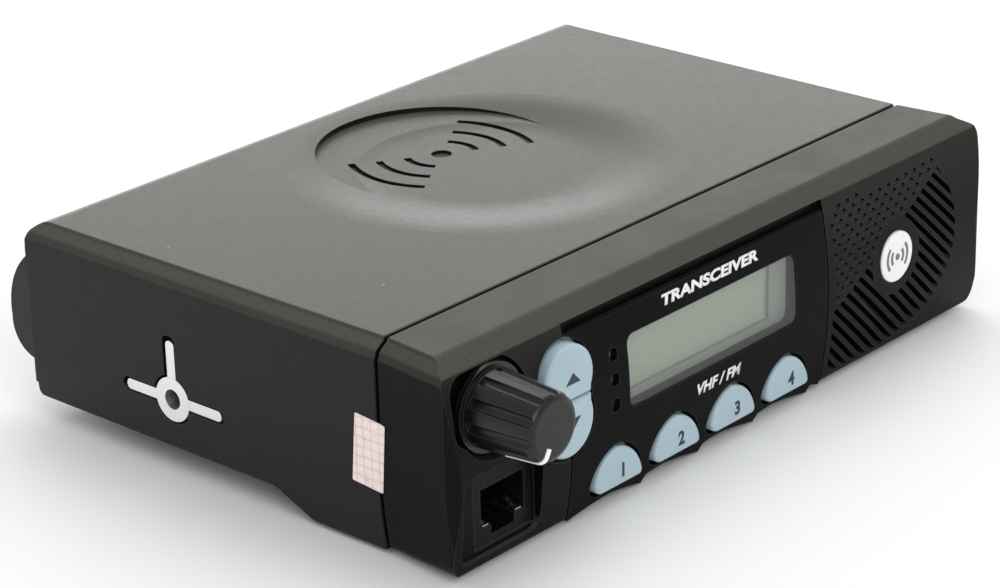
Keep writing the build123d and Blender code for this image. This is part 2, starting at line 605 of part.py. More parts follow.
def chassis():
    floor = rounded(
        [(18.6, 2.2), (37.4, 2.2), (46.6, 5.2), (113.2, 5.2), (113.2, 8.0), (46.0, 8.0), (36.6, 4.8), (18.6, 4.8)],
        [0.0, 3.0, 3.0, 0.0, 0.0, 3.0, 3.0, 0.0])
    body = along_x(floor, -CHASSIS_HALF, CHASSIS_HALF)
    wall = rounded([(18.6, 2.2), (37.4, 2.2), (46.6, 5.2), (111.1, 5.2), (111.1, 37.0), (18.6, 37.0)],
                   [0.0, 3.0, 3.0, 0.0, 0.0, 0.0])
    for x0, x1 in ((-CHASSIS_HALF, -CHASSIS_HALF + 2.4), (CHASSIS_HALF - 2.4, CHASSIS_HALF)):
        body += along_x(wall, x0, x1)
    body += block(-CHASSIS_HALF, CHASSIS_HALF, 107.6, 111.1, 5.2, 39.0)
    body += block(-CHASSIS_HALF, CHASSIS_HALF, 111.0, 114.0, 5.2, 38.3)
    body += block(-81.4, 81.4, REAR_Y + 0.2, 115.3, 8.0, 37.6)
    for sign in (-1, 1):
        for i in range(7):
            x = sign * (43.0 + 6.22 * i)
            body += along_x(fin_profile(), x - 0.95, x + 0.95)
    rib = rounded([(50, 6), (52, 0), (106, 0), (108, 6)], [0.0, 1.0, 1.0, 0.0])
    for i in range(7):
        x = (i - 3) * 20.0
        body += along_x(rib, x - 1.1, x + 1.1)
    for x, y in STANDOFFS:
        body += rod_z(x, y, 3.0, 4.0 if y < 40 else 7.0, MAIN_BOARD_Z)
    bores = []
    for sign in (-1, 1):
        solid, bore = boss_solid(sign)
        body += solid
        bores.append(bore)
    for bore in bores:
        body -= bore
    for x, y in STANDOFFS:
        body -= rod_z(x, y, 1.5, MAIN_BOARD_Z - 4, MAIN_BOARD_Z + 1)
    body -= rod_y(ANTENNA_X, ANTENNA_Z, 4.75, 100, 120)
    body -= block(POWER_X - 10.1, POWER_X + 10.1, 100, 120, 15.9, 28.1)
    body -= block(ACCESSORY_X - 14.1, ACCESSORY_X + 14.1, 100, 120, 14.9, 24.1)
    return body


def cover_gasket():
    outer = rectangle(-CHASSIS_HALF + 0.3, CHASSIS_HALF - 0.3, 18.8, 109.0, 1.5)
    inner = rectangle(-CHASSIS_HALF + 2.1, CHASSIS_HALF - 2.1, 20.6, 107.4, 1.5)
    ring = along_z(outer - inner, 37.0, 38.4)
    return ring - block(-CHASSIS_HALF, CHASSIS_HALF, 107.5, 112, 36, 39.1)


def main_board():
    board = block(-76.0, 76.0, 21.0, 107.0, MAIN_BOARD_Z, MAIN_BOARD_Z + BOARD_THICK)
    for x, y in STANDOFFS:
        board -= rod_z(x, y, 1.6, 0, 20)
    for x0, x1 in ((-80, -69.6), (69.6, 80)):
        board -= block(x0, x1, BOSS_Y - 5.2, BOSS_Y + 5.2, 0, 20)
    return board


def board_screws():
    top = MAIN_BOARD_Z + BOARD_THICK
    screws = []
    for x, y in STANDOFFS:
        screw = rod_z(x, y, 2.8, top, top + 1.8) + rod_z(x, y, 1.45, MAIN_BOARD_Z - 3.6, top)
        screws.append(screw - block(x - 2, x + 2, y - 0.3, y + 0.3, top + 1.0, top + 2))
    return group(screws)


def shield_can(x0, x1, y0, y1, height):
    base = MAIN_BOARD_Z + BOARD_THICK
    can = block(x0, x1, y0, y1, base, base + height)
    can = fillet(can.edges().filter_by(Axis.Z), 1.5)
    can -= block(x0 + 0.5, x1 - 0.5, y0 + 0.5, y1 - 0.5, base - 1, base + height - 0.5)
    for i in range(4):
        for j in range(3):
            can -= rod_z(x0 + (x1 - x0) * (i + 1) / 5, y0 + (y1 - y0) * (j + 1) / 4, 0.9, base, base + 20)
    return can


def on_board(x0, x1, y0, y1, height, lift=0.0):
    base = MAIN_BOARD_Z + BOARD_THICK + lift
    return block(x0, x1, y0, y1, base, base + height)


def pa_transistors():
    return group([on_board(x - 6, x + 6, 96, 104, 3.0) for x in (42.0, 60.0)])


def pa_clamp():
    return on_board(34, 68, 98, 102, 1.2, 3.0)


def audio_amplifier():
    body = on_board(-66, -46, 98.5, 103.0, 11.0)
    for i in range(8):
        x = -64.5 + 2.4 * i
        body += on_board(x, x + 0.8, 97.3, 98.6, 3.0)
    return body


def ic_chips():
    spots = ((-52, -38, 50, 64), (-50, -42, 72, 80), (14, 24, 40, 50), (40, 52, 62, 74))
    return group([on_board(*spot, 1.6) for spot in spots])


def crystal_unit():
    return fillet(on_board(-30, -19, 40, 44.6, 3.6).edges().filter_by(Axis.Z), 2.0)


def capacitors():
    base = MAIN_BOARD_Z + BOARD_THICK
    spots = ((-62, 84, 5.0, 15.0), (-50, 90, 4.0, 12.0), (-62, 70, 4.0, 12.0))
    return group([rod_z(x, y, radius, base, base + height) for x, y, radius, height in spots])


def ribbon_cable():
    """Flat flex from the control board, back and down on to the main board."""
    thick = 0.3
    drop = block(-30, -8, BOARD_Y + BOARD_THICK + 2.0, BOARD_Y + BOARD_THICK + 2.0 + thick, 14.0, 24.0)
    run = block(-30, -8, BOARD_Y + BOARD_THICK + 2.0, 24.0, 24.0, 24.0 + thick)
    tail = block(-30, -8, 24.0 - thick, 24.0, MAIN_BOARD_Z + BOARD_THICK + 5.0, 24.0 + thick)
    return drop + run + tail


def board_connectors():
    front = block(-31, -7, BOARD_Y + BOARD_THICK, BOARD_Y + BOARD_THICK + 2.0, 12.5, 17.5)
    rear = on_board(-31, -7, 22.0, 26.0, 5.0)
    return group([front, rear])


def antenna_shell():
    shell = rod_y(ANTENNA_X, ANTENNA_Z, 4.7, 106.0, FIN_REAR_Y - 0.2)
    shell += along_y(Pos(ANTENNA_X, ANTENNA_Z) * RegularPolygon(7.0, 6), 115.4, 117.2)
    shell -= rod_y(ANTENNA_X, ANTENNA_Z, 0.8, 100, 110)
    return shell - rod_y(ANTENNA_X, ANTENNA_Z, 3.6, 108.0, 125)


def antenna_insulator():
    disc = rod_y(ANTENNA_X, ANTENNA_Z, 3.6, 108.0, 114.0)
    return disc - rod_y(ANTENNA_X, ANTENNA_Z, 0.8, 100, 125)


def antenna_contact():
    pin = rod_y(ANTENNA_X, ANTENNA_Z, 0.8, 104.0, 119.0)
    return pin - rod_y(ANTENNA_X, ANTENNA_Z, 0.4, 115.0, 125)


def power_housing():
    body = block(POWER_X - 10, POWER_X + 10, 105.0, 119.0, 16.0, 28.0)
    body -= block(POWER_X - 8.6, POWER_X + 8.6, 108.0, 125.0, 17.4, 26.6)
    for dx in POWER_PIN_OFFSETS:
        body -= rod_y(POWER_X + dx, 22.0, 1.6, 100.0, 110.0)
    return body


def power_pins():
    return group([rod_y(POWER_X + dx, 22.0, 1.6, 101.0, 117.0) for dx in POWER_PIN_OFFSETS])


def accessory_housing():
    body = block(ACCESSORY_X - 14, ACCESSORY_X + 14, 105.0, 118.0, 15.0, 24.0)
    body -= block(ACCESSORY_X - 13, ACCESSORY_X + 13, 108.0, 125.0, 16.0, 23.0)
    return body - accessory_pins()


def accessory_pins():
    pins = []
    for row in (17.9, 21.1):
        for i in range(8):
            x = ACCESSORY_X + (i - 3.5) * 2.8
            pins.append(block(x - 0.35, x + 0.35, 102.0, 115.5, row - 0.35, row + 0.35))
    return group(pins)


def seal_sticker():
    """Paper seal bridging the joint; it bends where the head starts to flare."""
    label = along_x(Pos(20.0, 20.8) * Rot(0, 0, 5) * RectangleRounded(7.7, 14.0, 0.3), -85, -82)
    inner, outer, bend = -BODY_HALF - 0.02, -BODY_HALF - 0.15, SEAM_Y - SEAM_GAP / 2
    folded = [(inner, 26.0), (inner, bend), (inner - 0.36, bend - 2.4),
              (outer - 0.36, bend - 2.4), (outer, bend), (outer, 26.0)]
    return label & along_z(rounded(folded, [0.0] * len(folded)), 10, 32)


PARTS = {
    "control_head_housing": control_head_housing,
    "fascia_panel": fascia_panel,
    "display_window": display_window,
    "status_lights": status_lights,
    "lcd_holder": lcd_holder,
    "lcd_panel": lcd_panel,
    "backlight_guide": backlight_guide,
    "switch_domes": switch_domes,
    "keypad_membrane": keypad_membrane,
    "control_board": control_board,
    "volume_pot": volume_pot,
    "knob_nut": knob_nut,
    "knob_shaft": knob_shaft,
    "volume_knob": volume_knob,
    "knob_pointer": knob_pointer,
    "mic_jack_body": mic_jack_body,
    "mic_jack_contacts": mic_jack_contacts,
    "mic_jack_clips": mic_jack_clips,
    "speaker_frame": speaker_frame,
    "speaker_cone": speaker_cone,
    "speaker_magnet": speaker_magnet,
    "grille_cloth": grille_cloth,
    "grille_badge": grille_badge,
    "head_gasket": head_gasket,
    "top_cover": top_cover,
    "chassis": chassis,
    "cover_gasket": cover_gasket,
    "main_board": main_board,
    "board_screws": board_screws,
    "pa_transistors": pa_transistors,
    "pa_clamp": pa_clamp,
    "audio_amplifier": audio_amplifier,
    "ic_chips": ic_chips,
    "crystal_unit": crystal_unit,
    "capacitors": capacitors,
    "ribbon_cable": ribbon_cable,
    "board_connectors": board_connectors,
    "antenna_shell": antenna_shell,
    "antenna_insulator": antenna_insulator,
    "antenna_contact": antenna_contact,
    "power_housing": power_housing,
    "power_pins": power_pins,
    "accessory_housing": accessory_housing,
    "accessory_pins": accessory_pins,
    "seal_sticker": seal_sticker,
}

for part_name, make in PARTS.items():
    save(part_name, make())
for index, key_x in enumerate(KEY_X, start=1):
    save(f"key_{index}", function_key(key_x))
save("key_up", rocker_key(True))
save("key_down", rocker_key(False))
save("synthesiser_shield", shield_can(-30, 6, 56, 92, 8.0))
save("receiver_shield", shield_can(28, 64, 28, 56, 8.0))
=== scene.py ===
import json
from math import cos, pi, radians, sin

import bmesh
import bpy
from mathutils import Matrix, Vector


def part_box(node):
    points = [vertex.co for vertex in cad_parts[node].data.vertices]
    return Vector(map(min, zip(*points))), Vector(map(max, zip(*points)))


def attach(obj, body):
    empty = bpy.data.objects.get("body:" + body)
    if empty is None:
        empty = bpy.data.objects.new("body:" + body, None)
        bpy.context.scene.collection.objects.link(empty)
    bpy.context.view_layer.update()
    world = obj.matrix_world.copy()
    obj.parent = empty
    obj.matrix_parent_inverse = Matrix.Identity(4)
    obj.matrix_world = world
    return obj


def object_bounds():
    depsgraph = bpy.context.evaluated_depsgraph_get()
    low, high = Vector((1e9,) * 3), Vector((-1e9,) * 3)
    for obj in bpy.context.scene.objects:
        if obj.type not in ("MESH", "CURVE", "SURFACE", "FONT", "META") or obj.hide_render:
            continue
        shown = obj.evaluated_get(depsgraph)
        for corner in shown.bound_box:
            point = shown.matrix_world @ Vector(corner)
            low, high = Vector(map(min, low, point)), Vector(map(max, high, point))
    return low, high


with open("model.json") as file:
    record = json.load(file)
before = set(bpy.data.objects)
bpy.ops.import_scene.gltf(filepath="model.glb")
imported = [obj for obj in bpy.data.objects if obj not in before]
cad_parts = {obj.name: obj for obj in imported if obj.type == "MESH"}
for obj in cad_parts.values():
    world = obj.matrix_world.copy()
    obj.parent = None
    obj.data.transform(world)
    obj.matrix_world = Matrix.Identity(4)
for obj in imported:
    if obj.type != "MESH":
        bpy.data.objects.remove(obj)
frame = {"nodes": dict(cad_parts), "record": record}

CAD_BOX = [list(corner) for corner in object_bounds()]
NODES = frame["nodes"]
MM = 0.001
TOP_SHEEN_GREY = (0.064, 0.066, 0.052)     # painted sheen: the lighter grey put on upward surfaces where the overhead light falls

# ---- Places taken from the frame -------------------------------------------------
HEAD_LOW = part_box("control_head_housing")[0]
BADGE_LOW, BADGE_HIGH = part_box("grille_badge")

# The face of the head is one large cylinder whose axis runs along X.
FACE_R = 91.72 * MM
FACE_AXIS_Z = 20.1 * MM
FACE_AXIS_Y = HEAD_LOW.y + FACE_R


def face_y(z):
    """Front surface of the head at height z."""
    return FACE_AXIS_Y - (FACE_R ** 2 - (z - FACE_AXIS_Z) ** 2) ** 0.5


# ---- Materials ---------------------------------------------------------------------
class Shader:
    """A Principled material with short helpers for procedural detail in object space."""

    def __init__(self, name, colour, roughness, **sockets):
        self.material = bpy.data.materials.new(name)
        self.material.use_nodes = True
        self.tree = self.material.node_tree
        self.bsdf = self.tree.nodes["Principled BSDF"]
        self.bsdf.inputs["Base Color"].default_value = (*colour, 1.0)
        self.bsdf.inputs["Roughness"].default_value = roughness
        for label, value in sockets.items():
            self.bsdf.inputs[label.replace("_", " ")].default_value = value
        self.colour = colour
        self.roughness = roughness
        self.coords = self.node("ShaderNodeTexCoord").outputs["Object"]
        self.height = None

    def node(self, kind, **settings):
        node = self.tree.nodes.new(kind)
        for key, value in settings.items():
            setattr(node, key, value)
        return node

    def link(self, source, target):
        self.tree.links.new(source, target)

    def noise(self, scale, detail=4.0, roughness=0.55, stretch=(1, 1, 1)):
        mapping = self.node("ShaderNodeMapping")
        mapping.inputs["Scale"].default_value = stretch
        self.link(self.coords, mapping.inputs["Vector"])
        noise = self.node("ShaderNodeTexNoise")
        noise.inputs["Scale"].default_value = scale
        noise.inputs["Detail"].default_value = detail
        noise.inputs["Roughness"].default_value = roughness
        self.link(mapping.outputs["Vector"], noise.inputs["Vector"])
        return noise.outputs["Fac"]

    def spots(self, scale, randomness=1.0):
        cells = self.node("ShaderNodeTexVoronoi")
        cells.inputs["Scale"].default_value = scale
        cells.inputs["Randomness"].default_value = randomness
        self.link(self.coords, cells.inputs["Vector"])
        return cells.outputs["Distance"]

    def ramp(self, source, low, high, start=0.0, end=1.0):
        """Map source between low and high to start and end."""
        mapper = self.node("ShaderNodeMapRange")
        for label, value in zip(("From Min", "From Max", "To Min", "To Max"), (low, high, start, end)):
            mapper.inputs[label].default_value = value
        self.link(source, mapper.inputs["Value"])
        return mapper.outputs["Result"]

    def tint(self, mask, colour):
        """Blend the base colour towards another colour by a mask."""
        mix = self.node("ShaderNodeMix", data_type="RGBA")
        socket = self.bsdf.inputs["Base Color"]
        if socket.is_linked:
            self.link(socket.links[0].from_socket, mix.inputs["A"])
        else:
            mix.inputs["A"].default_value = (*self.colour, 1.0)
        mix.inputs["B"].default_value = (*colour, 1.0)
        self.link(mask, mix.inputs["Factor"])
        self.link(mix.outputs["Result"], socket)

    def polish(self, source, spread):
        """Vary the roughness by plus and minus spread."""
        low, high = self.roughness - spread, self.roughness + spread
        self.link(self.ramp(source, 0.3, 0.7, low, high), self.bsdf.inputs["Roughness"])

    def bump(self, source, depth, strength=1.0):
        bump = self.node("ShaderNodeBump")
        bump.inputs["Distance"].default_value = depth
        bump.inputs["Strength"].default_value = strength
        self.link(source, bump.inputs["Height"])
        if self.height is not None:
            self.link(self.height, bump.inputs["Normal"])
        self.height = bump.outputs["Normal"]
        self.link(self.height, self.bsdf.inputs["Normal"])

    def settle(self, colour, amount, grain):
        """Painted sheen: a lighter grey on surfaces facing up, where the light from above falls, broken
        up by a fine speckle.
        """
        split = self.node("ShaderNodeSeparateXYZ")
        self.link(self.node("ShaderNodeTexCoord").outputs["Normal"], split.inputs["Vector"])
        facing = self.ramp(split.outputs["Z"], 0.08, 0.62, 0.0, amount)
        speckle = self.ramp(self.noise(grain, 3, 0.65), 0.30, 0.70, 0.82, 1.0)
        product = self.node("ShaderNodeMath", operation="MULTIPLY")
        self.link(facing, product.inputs[0])
        self.link(speckle, product.inputs[1])
        self.tint(product.outputs["Value"], colour)

    def specks(self, scale, size, colour):
        """Sparse grains of lint."""
        self.tint(self.ramp(self.spots(scale), size, 0.6 * size, 0.0, 0.8), colour)

    def edge_wear(self, radius, colour, amount):
        """Painted highlight: lighten sharp edges, where light catches them."""
        rounded = self.node("ShaderNodeBevel", samples=4)
        rounded.inputs["Radius"].default_value = radius
        geometry = self.node("ShaderNodeNewGeometry")
        dot = self.node("ShaderNodeVectorMath", operation="DOT_PRODUCT")
        self.link(rounded.outputs["Normal"], dot.inputs[0])
        self.link(geometry.outputs["Normal"], dot.inputs[1])
        mask = self.ramp(dot.outputs["Value"], 1.0, 0.75, 0.0, amount)
        self.tint(mask, colour)


def moulded_black(name, colour, roughness, grain, specular, edge_highlight=(0.10, 0.10, 0.10), top_sheen=0.0):
    """Fine spark-textured black plastic."""
    shader = Shader(name, colour, roughness, Specular_IOR_Level=specular)
    lighter = tuple(1.5 * c + 0.001 for c in colour)
    shader.tint(shader.ramp(shader.noise(160, 5), 0.42, 0.72, 0.0, 0.5), lighter)
    # painted sheen: a lighter grey on surfaces facing up, when asked for
    if top_sheen:
        shader.settle(TOP_SHEEN_GREY, top_sheen, 1100)
    shader.specks(95, 0.032, (0.20, 0.20, 0.20))
    shader.polish(shader.noise(90, 4), 0.05)
    shader.bump(shader.noise(grain, 2, 0.6), 0.03 * MM, 0.45)
    shader.bump(shader.noise(grain * 0.28, 3, 0.6), 0.03 * MM, 0.3)
    # painted highlight along the sharp edges
    shader.edge_wear(0.35 * MM, edge_highlight, 0.35)
    return shader.material


def sleeve_paint():
    """Leather-grained satin coat, with a painted sheen of lighter grey on the surfaces facing up."""
    shader = Shader("sleeve_paint", (0.0052, 0.0054, 0.0056), 0.40, Specular_IOR_Level=0.22)
    shader.tint(shader.ramp(shader.noise(240, 5), 0.42, 0.72, 0.0, 0.5), (0.0085, 0.0088, 0.0088))
    # painted sheen: lighter grey on the surfaces facing up
    shader.settle(TOP_SHEEN_GREY, 1.0, 900)
    shader.specks(70, 0.024, (0.26, 0.26, 0.25))
    shader.polish(shader.noise(700, 3), 0.03)
    shader.bump(shader.noise(2200, 2, 0.6), 0.03 * MM, 0.55)
    shader.bump(shader.noise(900, 2, 0.6), 0.03 * MM, 0.25)
    # painted highlight along the sharp edges
    shader.edge_wear(0.4 * MM, (0.09, 0.09, 0.088), 0.25)
    return shader.material


def fascia_plastic():
    shader = Shader("fascia_plastic", (0.0030, 0.0030, 0.0036), 0.42, Specular_IOR_Level=0.05)
    shader.tint(shader.ramp(shader.noise(140, 5), 0.45, 0.75, 0.0, 0.4), (0.0055, 0.0055, 0.0062))
    shader.specks(90, 0.018, (0.10, 0.10, 0.10))
    shader.polish(shader.noise(120, 4), 0.04)
    shader.bump(shader.noise(3200, 2, 0.6), 0.012 * MM, 0.45)
    # painted highlight along the sharp edges
    shader.edge_wear(0.25 * MM, (0.13, 0.13, 0.135), 0.45)
    return shader.material


def key_rubber():
    shader = Shader("key_rubber", (0.40, 0.525, 0.585), 0.42, Specular_IOR_Level=0.3,
                    Subsurface_Weight=0.15, Subsurface_Scale=1.5 * MM)
    shader.tint(shader.ramp(shader.noise(90, 4), 0.45, 0.7, 0.0, 0.35), (0.35, 0.465, 0.525))
    shader.polish(shader.noise(300, 3), 0.05)
    shader.bump(shader.noise(3000, 2, 0.5), 0.01 * MM, 0.4)
    return shader.material


def cast_aluminium():
    """Black-coated casting, left bare and bright on the two side bosses."""
    shader = Shader("cast_aluminium", (0.0065, 0.0066, 0.0068), 0.40, Specular_IOR_Level=0.3)
    shader.tint(shader.ramp(shader.noise(160, 6), 0.45, 0.75, 0.0, 0.5), (0.011, 0.011, 0.011))
    place = shader.node("ShaderNodeSeparateXYZ")
    shader.link(shader.coords, place.inputs["Vector"])
    away = shader.node("ShaderNodeMath", operation="ABSOLUTE")
    shader.link(place.outputs["X"], away.inputs[0])
    outside = shader.ramp(away.outputs["Value"], 79.2 * MM, 79.5 * MM)
    bare = shader.node("ShaderNodeMath", operation="MULTIPLY")
    shader.link(outside, bare.inputs[0])
    shader.link(shader.ramp(place.outputs["Y"], 46 * MM, 44 * MM), bare.inputs[1])
    shader.tint(bare.outputs["Value"], (0.86, 0.87, 0.85))
    shader.link(bare.outputs["Value"], shader.bsdf.inputs["Metallic"])
    shader.polish(shader.noise(220, 5), 0.07)
    shader.bump(shader.noise(900, 4, 0.6), 0.04 * MM, 0.4)
    return shader.material


def metal(name, colour, roughness, streaks=(1, 1, 1), spread=0.08):
    shader = Shader(name, colour, roughness, Metallic=1.0)
    darker = tuple(0.75 * c for c in colour)
    shader.tint(shader.ramp(shader.noise(250, 5, stretch=streaks), 0.45, 0.75, 0.0, 0.5), darker)
    shader.polish(shader.noise(400, 4, stretch=streaks), spread)
    shader.bump(shader.noise(1500, 3, 0.6, streaks), 0.01 * MM, 0.3)
    return shader.material


def display_frame():
    shader = Shader("display_frame", (0.215, 0.225, 0.21), 0.6, Specular_IOR_Level=0.15)
    shader.tint(shader.ramp(shader.noise(60, 3), 0.45, 0.7, 0.0, 0.4), (0.195, 0.205, 0.19))
    shader.bump(shader.noise(150, 2), 0.004 * MM, 0.2)
    return shader.material


def lcd_glass():
    """Blank reflective display, grey-green and faintly uneven."""
    shader = Shader("lcd_glass", (0.262, 0.306, 0.248), 0.35, Specular_IOR_Level=0.25)
    shader.tint(shader.ramp(shader.noise(60, 3), 0.4, 0.7, 0.0, 0.35), (0.25, 0.29, 0.235))
    shader.polish(shader.noise(200, 3), 0.04)
    shader.bump(shader.noise(150, 2), 0.004 * MM, 0.2)
    return shader.material


def clear_window():
    shader = Shader("clear_window", (0.80, 0.86, 0.80), 0.06, Specular_IOR_Level=0.35, Alpha=0.06)
    shader.polish(shader.noise(150, 4), 0.03)
    shader.bump(shader.noise(120, 3), 0.004 * MM, 0.2)
    return shader.material


def smoked_lens():
    shader = Shader("smoked_lens", (0.006, 0.006, 0.007), 0.12, Coat_Weight=0.6, Coat_Roughness=0.08)
    shader.polish(shader.noise(300, 3), 0.04)
    shader.bump(shader.noise(900, 2), 0.006 * MM, 0.3)
    return shader.material


def white_moulding():
    shader = Shader("white_moulding", (0.88, 0.89, 0.88), 0.30, Specular_IOR_Level=0.5)
    shader.tint(shader.ramp(shader.noise(150, 4), 0.5, 0.75, 0.0, 0.3), (0.80, 0.81, 0.80))
    shader.polish(shader.noise(300, 3), 0.04)
    shader.bump(shader.noise(1400, 2), 0.006 * MM, 0.3)
    return shader.material


def print_ink(name, colour):
    shader = Shader(name, colour, 0.5)
    darker = tuple(0.82 * c for c in colour)
    shader.tint(shader.ramp(shader.noise(1500, 4), 0.48, 0.75, 0.0, 0.5), darker)
    shader.bump(shader.noise(2500, 3), 0.006 * MM, 0.4)
    return shader.material


def sticker_paper():
    """Blank seal paper with a faint pink grid."""
    shader = Shader("sticker_paper", (0.92, 0.80, 0.76), 0.55)
    for axis in ("Y", "Z"):
        wave = shader.node("ShaderNodeTexWave", bands_direction=axis)
        wave.inputs["Scale"].default_value = 160.0
        wave.inputs["Distortion"].default_value = 1.4
        wave.inputs["Detail Scale"].default_value = 3.0
        shader.link(shader.coords, wave.inputs["Vector"])
        shader.tint(shader.ramp(wave.outputs["Fac"], 0.0, 0.22, 0.45, 0.0), (0.72, 0.42, 0.42))
    shader.tint(shader.ramp(shader.noise(700, 5), 0.55, 0.72, 0.0, 0.5), (0.55, 0.42, 0.41))
    shader.bump(shader.noise(1600, 4), 0.012 * MM, 0.5)
    return shader.material


def plain(name, colour, roughness, grain=1200, depth=0.01, **sockets):
    """Finish for inner pieces: mottled colour, uneven gloss and a light grain."""
    shader = Shader(name, colour, roughness, **sockets)
    darker = tuple(0.7 * c for c in colour)
    shader.tint(shader.ramp(shader.noise(grain / 8, 4), 0.45, 0.72, 0.0, 0.5), darker)
    shader.polish(shader.noise(grain / 4, 3), 0.06)
    shader.bump(shader.noise(grain, 3), depth * MM, 0.5)
    return shader.material


def speaker_cloth():
    shader = Shader("speaker_cloth", (0.004, 0.004, 0.004), 0.9, Specular_IOR_Level=0.1)
    for axis in ("X", "Z"):
        wave = shader.node("ShaderNodeTexWave", bands_direction=axis)
        wave.inputs["Scale"].default_value = 900.0
        shader.link(shader.coords, wave.inputs["Vector"])
        shader.tint(shader.ramp(wave.outputs["Fac"], 0.4, 1.0, 0.0, 0.5), (0.007, 0.007, 0.007))
    shader.bump(shader.noise(2000, 2), 0.02 * MM, 0.6)
    return shader.material


def circuit_board():
    """Green solder mask over faint copper tracks."""
    shader = Shader("circuit_board", (0.015, 0.10, 0.045), 0.38, Coat_Weight=0.3)
    cells = shader.node("ShaderNodeTexVoronoi", feature="DISTANCE_TO_EDGE", distance="MANHATTAN")
    cells.inputs["Scale"].default_value = 180.0
    shader.link(shader.coords, cells.inputs["Vector"])
    shader.tint(shader.ramp(cells.outputs["Distance"], 0.02, 0.05, 0.8, 0.0), (0.03, 0.17, 0.07))
    shader.polish(shader.noise(300, 3), 0.05)
    shader.bump(cells.outputs["Distance"], 0.02 * MM, 0.4)
    return shader.material


def make_finishes():
    """One material for each slot of the record."""
    dark = (0.012, 0.012, 0.0125)
    return {
        # the head plastic carries the painted sheen on surfaces facing up, and painted edge highlights
        "black_abs": moulded_black("head_plastic", (0.0032, 0.0033, 0.0035), 0.42, 2400, 0.08, top_sheen=1.0),
        "black_painted_cover": sleeve_paint(),
        "fascia_plastic": fascia_plastic(),
        "cast_aluminium": cast_aluminium(),
        "clear_window": clear_window(),
        "smoked_lens": smoked_lens(),
        "display_frame": display_frame(),
        "lcd_glass": lcd_glass(),
        "light_guide": plain("light_guide", (0.62, 0.68, 0.60), 0.3, 200, 0.003),
        "silicone": plain("silicone", (0.20, 0.24, 0.26), 0.6),
        "circuit_board": circuit_board(),
        "tinned_steel": metal("tinned_steel", (0.66, 0.66, 0.64), 0.35),
        "bright_steel": metal("bright_steel", (0.72, 0.72, 0.72), 0.25, (1, 12, 1)),
        # the knob carries a brighter painted highlight along its edges
        "knob_rubber": moulded_black("knob_plastic", (0.0035, 0.0035, 0.0037), 0.30, 2600, 0.40,
                                     edge_highlight=(0.13, 0.13, 0.13)),
        "white_plastic": white_moulding(),
        "jack_plastic": moulded_black("jack_nylon", (0.0035, 0.0035, 0.0035), 0.45, 2600, 0.15),
        "gold_contacts": metal("gold_contacts", (0.92, 0.78, 0.50), 0.22, (1, 10, 1), 0.05),
        "speaker_steel": plain("speaker_steel", dark, 0.5),
        "ferrite": plain("ferrite", (0.03, 0.03, 0.032), 0.7),
        "speaker_paper": plain("speaker_paper", (0.015, 0.015, 0.015), 0.85),
        "speaker_cloth": speaker_cloth(),
        "black_rubber": plain("black_rubber", (0.004, 0.004, 0.004), 0.8),
        "flex_film": plain("flex_film", (0.42, 0.18, 0.04), 0.35),
        "connector_plastic": plain("connector_plastic", (0.014, 0.014, 0.014), 0.45),
        "chip_epoxy": plain("chip_epoxy", (0.012, 0.012, 0.012), 0.55),
        "capacitor_sleeve": plain("capacitor_sleeve", (0.02, 0.03, 0.08), 0.3),
        "nickel_plate": metal("nickel_plate", (0.78, 0.76, 0.72), 0.25),
        "white_insulator": plain("white_insulator", (0.85, 0.85, 0.83), 0.5),
        "key_plastic": key_rubber(),
        "sticker_paper": sticker_paper(),
    }


FINISHES = make_finishes()


def dress_cad_nodes():
    for part in frame["record"]["subparts"]:
        node = NODES[part["node"]]
        node.data.materials.clear()
        node.data.materials.append(FINISHES[part["material_slot"]])


# ---- Printed marks -------------------------------------------------------------------
INK_THICKNESS = 0.03 * MM
PROUD = 0.005 * MM
DEVICE_TEXT_X, DEVICE_TEXT_Z = -8.4 * MM, 36.7 * MM
BAND_TEXT_X, BAND_TEXT_Z = -7.3 * MM, 15.2 * MM
NUMERAL_SHIFT, NUMERAL_Z = 1.0 * MM, 6.9 * MM
ARROW_X = -52.0 * MM
ARROWS = (("key_up", 0.0, 31.2 * MM), ("key_down", pi, 22.2 * MM))      # key, turn, height
WAVE_RADII, WAVE_WIDTH, WAVE_DOT_R = (2.0, 3.5), 0.75, 0.75             # badge emblem, mm


def add_piece(name, mesh, material, body):
    mesh.name = name
    mesh.materials.clear()
    mesh.materials.append(material)
    piece = bpy.data.objects.new(name, mesh)
    bpy.context.scene.collection.objects.link(piece)
    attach(piece, body)
    return piece


def face_matrix(x, z, proud):
    """Frame on the face: local X to the right, local Y up the face, local Z out of it."""
    outward = Vector((0, face_y(z) - FACE_AXIS_Y, z - FACE_AXIS_Z)).normalized()
    right = Vector((1, 0, 0))
    up = outward.cross(right)
    place = Vector((x, face_y(z), z)) + outward * proud
    basis = Matrix((right, up, outward)).transposed()
    return Matrix.Translation(place) @ basis.to_4x4()


def text_mesh(text, height, width, thickness, slant=0.0, weight=0.0):
    """Letters centred on the origin; a width of None keeps the font's own proportions."""
    curve = bpy.data.curves.new("lettering", "FONT")
    curve.body = text
    curve.align_x = "CENTER"
    curve.size = 1.0
    curve.shear = slant
    curve.offset = weight
    curve.resolution_u = 6
    holder = bpy.data.objects.new("lettering", curve)
    mesh = bpy.data.meshes.new_from_object(holder)
    bpy.data.objects.remove(holder)
    low = Vector([min(v.co[i] for v in mesh.vertices) for i in range(3)])
    high = Vector([max(v.co[i] for v in mesh.vertices) for i in range(3)])
    middle = (low + high) / 2
    scale_y = height / (high.y - low.y)
    scale_x = width / (high.x - low.x) if width else scale_y
    scale = Matrix.Diagonal((scale_x, scale_y, 1.0, 1.0))
    mesh.transform(scale @ Matrix.Translation(-middle))
    return thicken(mesh, thickness)


